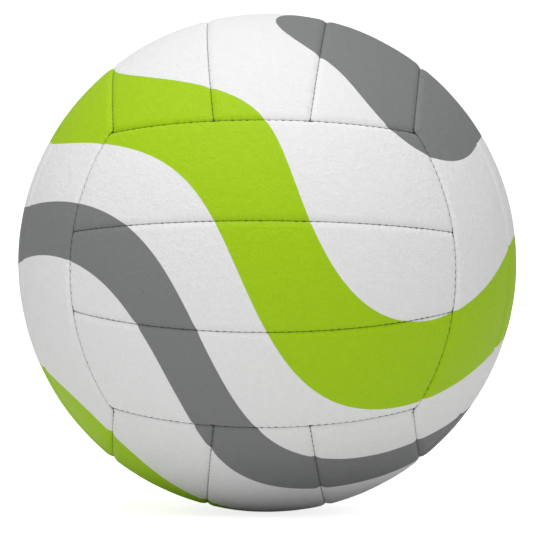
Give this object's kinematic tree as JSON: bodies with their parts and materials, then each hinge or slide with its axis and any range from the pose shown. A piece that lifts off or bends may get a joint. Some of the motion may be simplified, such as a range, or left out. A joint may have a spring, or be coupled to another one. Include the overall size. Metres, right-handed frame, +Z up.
{
  "type": "volleyball",
  "caption": "Inflated volleyball with cushioned panels sewn in crosswise trios over foam, cloth and a rubber bladder with a needle valve.",
  "frame": {"origin": "centre of the ball", "axes": "+Z up, -Y out of the front face that the picture shows, +Y out of the valve, +X to the right as seen from the front"},
  "size_m": [0.21, 0.2099, 0.21],
  "materials": {
    "cover_white": "fine matt grain, printed white ground",
    "cover_lime": "fine matt grain, printed mostly lime",
    "cover_grey": "fine matt grain, printed mostly grey",
    "foam": "soft closed-cell foam",
    "cloth": "plain woven cloth",
    "thread": "waxed polyester thread",
    "bladder_rubber": "matt butyl rubber",
    "valve_rubber": "matt rubber",
    "core_rubber": "smooth rubber"
  },
  "bodies": {
    "root": {"front_lower_panel": "cover_white", "front_middle_panel": "cover_white", "front_upper_panel": "cover_lime", "back_lower_panel": "cover_white", "back_middle_panel": "cover_white", "back_upper_panel": "cover_white", "left_front_panel": "cover_white", "left_middle_panel": "cover_lime", "left_back_panel": "cover_lime", "right_front_panel": "cover_white", "right_middle_panel": "cover_grey", "right_back_panel": "cover_white", "top_left_panel": "cover_lime", "top_middle_panel": "cover_white", "top_right_panel": "cover_grey", "bottom_left_panel": "cover_lime", "bottom_middle_panel": "cover_white", "bottom_right_panel": "cover_grey", "front_lower_foam": "foam", "front_middle_foam": "foam", "front_upper_foam": "foam", "back_lower_foam": "foam", "back_middle_foam": "foam", "back_upper_foam": "foam", "left_front_foam": "foam", "left_middle_foam": "foam", "left_back_foam": "foam", "right_front_foam": "foam", "right_middle_foam": "foam", "right_back_foam": "foam", "top_left_foam": "foam", "top_middle_foam": "foam", "top_right_foam": "foam", "bottom_left_foam": "foam", "bottom_middle_foam": "foam", "bottom_right_foam": "foam", "front_cloth_backings": "cloth", "back_cloth_backings": "cloth", "left_cloth_backings": "cloth", "right_cloth_backings": "cloth", "top_cloth_backings": "cloth", "bottom_cloth_backings": "cloth", "front_end_seam_threads": "thread", "back_end_seam_threads": "thread", "left_end_seam_threads": "thread", "right_end_seam_threads": "thread", "top_end_seam_threads": "thread", "bottom_end_seam_threads": "thread", "front_strip_seam_threads": "thread", "back_strip_seam_threads": "thread", "left_strip_seam_threads": "thread", "right_strip_seam_threads": "thread", "top_strip_seam_threads": "thread", "bottom_strip_seam_threads": "thread", "bladder": "bladder_rubber", "valve_patch": "bladder_rubber", "valve_housing": "valve_rubber", "valve_core": "core_rubber"}
  },
  "joints": []
}
